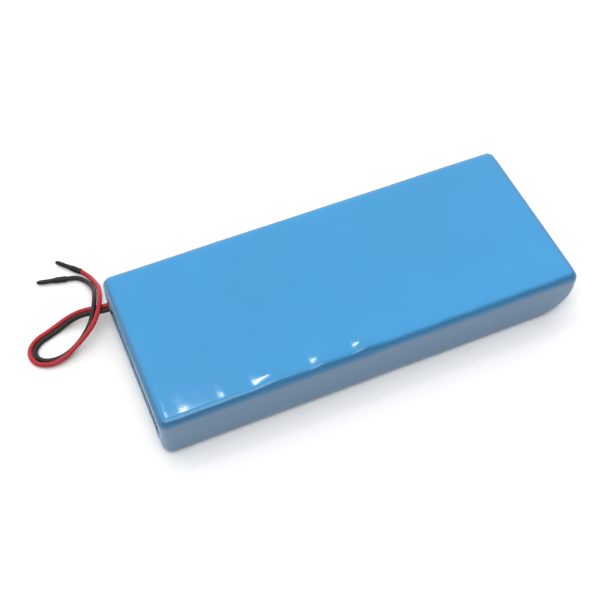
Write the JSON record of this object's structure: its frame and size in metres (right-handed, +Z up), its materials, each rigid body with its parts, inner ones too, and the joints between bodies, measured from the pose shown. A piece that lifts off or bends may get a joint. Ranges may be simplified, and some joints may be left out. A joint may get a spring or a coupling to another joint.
{
  "type": "battery pack",
  "caption": "Flat rectangular rechargeable battery pack in a blue shrink sleeve, with a row of round cells and a protection board inside and two capped flexible leads at one end.",
  "frame": {"origin": "middle of the sleeve's flat underside", "axes": "+X along the row of cells, away from the end that the leads leave; +Y along the cells' axes, towards the circuit board's side; +Z up, away from the surface that the pack rests on"},
  "size_m": [0.2361, 0.1168, 0.0254],
  "materials": {
    "sleeve_film": "smooth, semi-gloss",
    "glass_epoxy_sheet": "satin, faint weave",
    "foam_sheet": "matt, fine cells",
    "insulating_paper": "matt, fibrous",
    "bracket_plastic": "moulded, fine grain",
    "cell_steel": "nickel plated, satin",
    "electrode_roll": "matt, layered",
    "gasket_plastic": "smooth",
    "washer_paper": "matt",
    "cell_wrap_film": "shrunk, gloss",
    "nickel_strip": "rolled, satin",
    "board_laminate": "solder mask, semi-gloss",
    "black_package": "moulded, matt",
    "ceramic_body": "fired, satin",
    "tap_insulation": "extruded, gloss",
    "sense_insulation": "extruded, gloss",
    "dark_insulation": "extruded, gloss",
    "solder_metal": "bright",
    "tape_film": "smooth, gloss",
    "silicone": "cured, satin",
    "red_insulation": "extruded, satin",
    "black_insulation": "extruded, satin",
    "cap_plastic": "moulded, satin",
    "tinned_strands": "bright"
  },
  "bodies": {
    "root": {"shrink_sleeve": "sleeve_film", "top_board": "glass_epoxy_sheet", "bottom_board": "glass_epoxy_sheet", "near_board": "glass_epoxy_sheet", "far_board": "glass_epoxy_sheet", "left_end_board": "glass_epoxy_sheet", "near_foam": "foam_sheet", "far_foam": "foam_sheet", "near_paper": "insulating_paper", "far_paper": "insulating_paper", "paper_wrap": "insulating_paper", "near_bracket": "bracket_plastic", "far_bracket": "bracket_plastic", "cell_1": "cell_steel", "cell_2": "cell_steel", "cell_3": "cell_steel", "cell_4": "cell_steel", "cell_5": "cell_steel", "cell_6": "cell_steel", "cell_7": "cell_steel", "cell_8": "cell_steel", "cell_9": "cell_steel", "cell_10": "cell_steel", "cell_rolls": "electrode_roll", "cell_gaskets": "gasket_plastic", "cell_caps": "cell_steel", "cap_washers": "washer_paper", "cell_wraps": "cell_wrap_film", "link_1_2": "nickel_strip", "link_2_3": "nickel_strip", "link_3_4": "nickel_strip", "link_4_5": "nickel_strip", "link_5_6": "nickel_strip", "link_6_7": "nickel_strip", "link_7_8": "nickel_strip", "link_8_9": "nickel_strip", "link_9_10": "nickel_strip", "positive_strip": "nickel_strip", "negative_strip": "nickel_strip", "circuit_board": "board_laminate", "mosfets": "black_package", "chips": "black_package", "shunt_resistors": "black_package", "balance_resistors": "black_package", "capacitors": "ceramic_body", "near_tap_wires": "tap_insulation", "far_tap_wires": "sense_insulation", "negative_bus_wire": "dark_insulation", "thermistor": "dark_insulation", "solder_joints": "solder_metal", "tape_bands": "tape_film", "silicone_dabs": "silicone", "lead_seal": "silicone", "positive_tail": "red_insulation", "negative_tail": "black_insulation", "positive_lead": "red_insulation", "negative_lead": "black_insulation", "positive_end_cap": "cap_plastic", "negative_end_cap": "cap_plastic", "stripped_ends": "tinned_strands"}
  },
  "joints": []
}
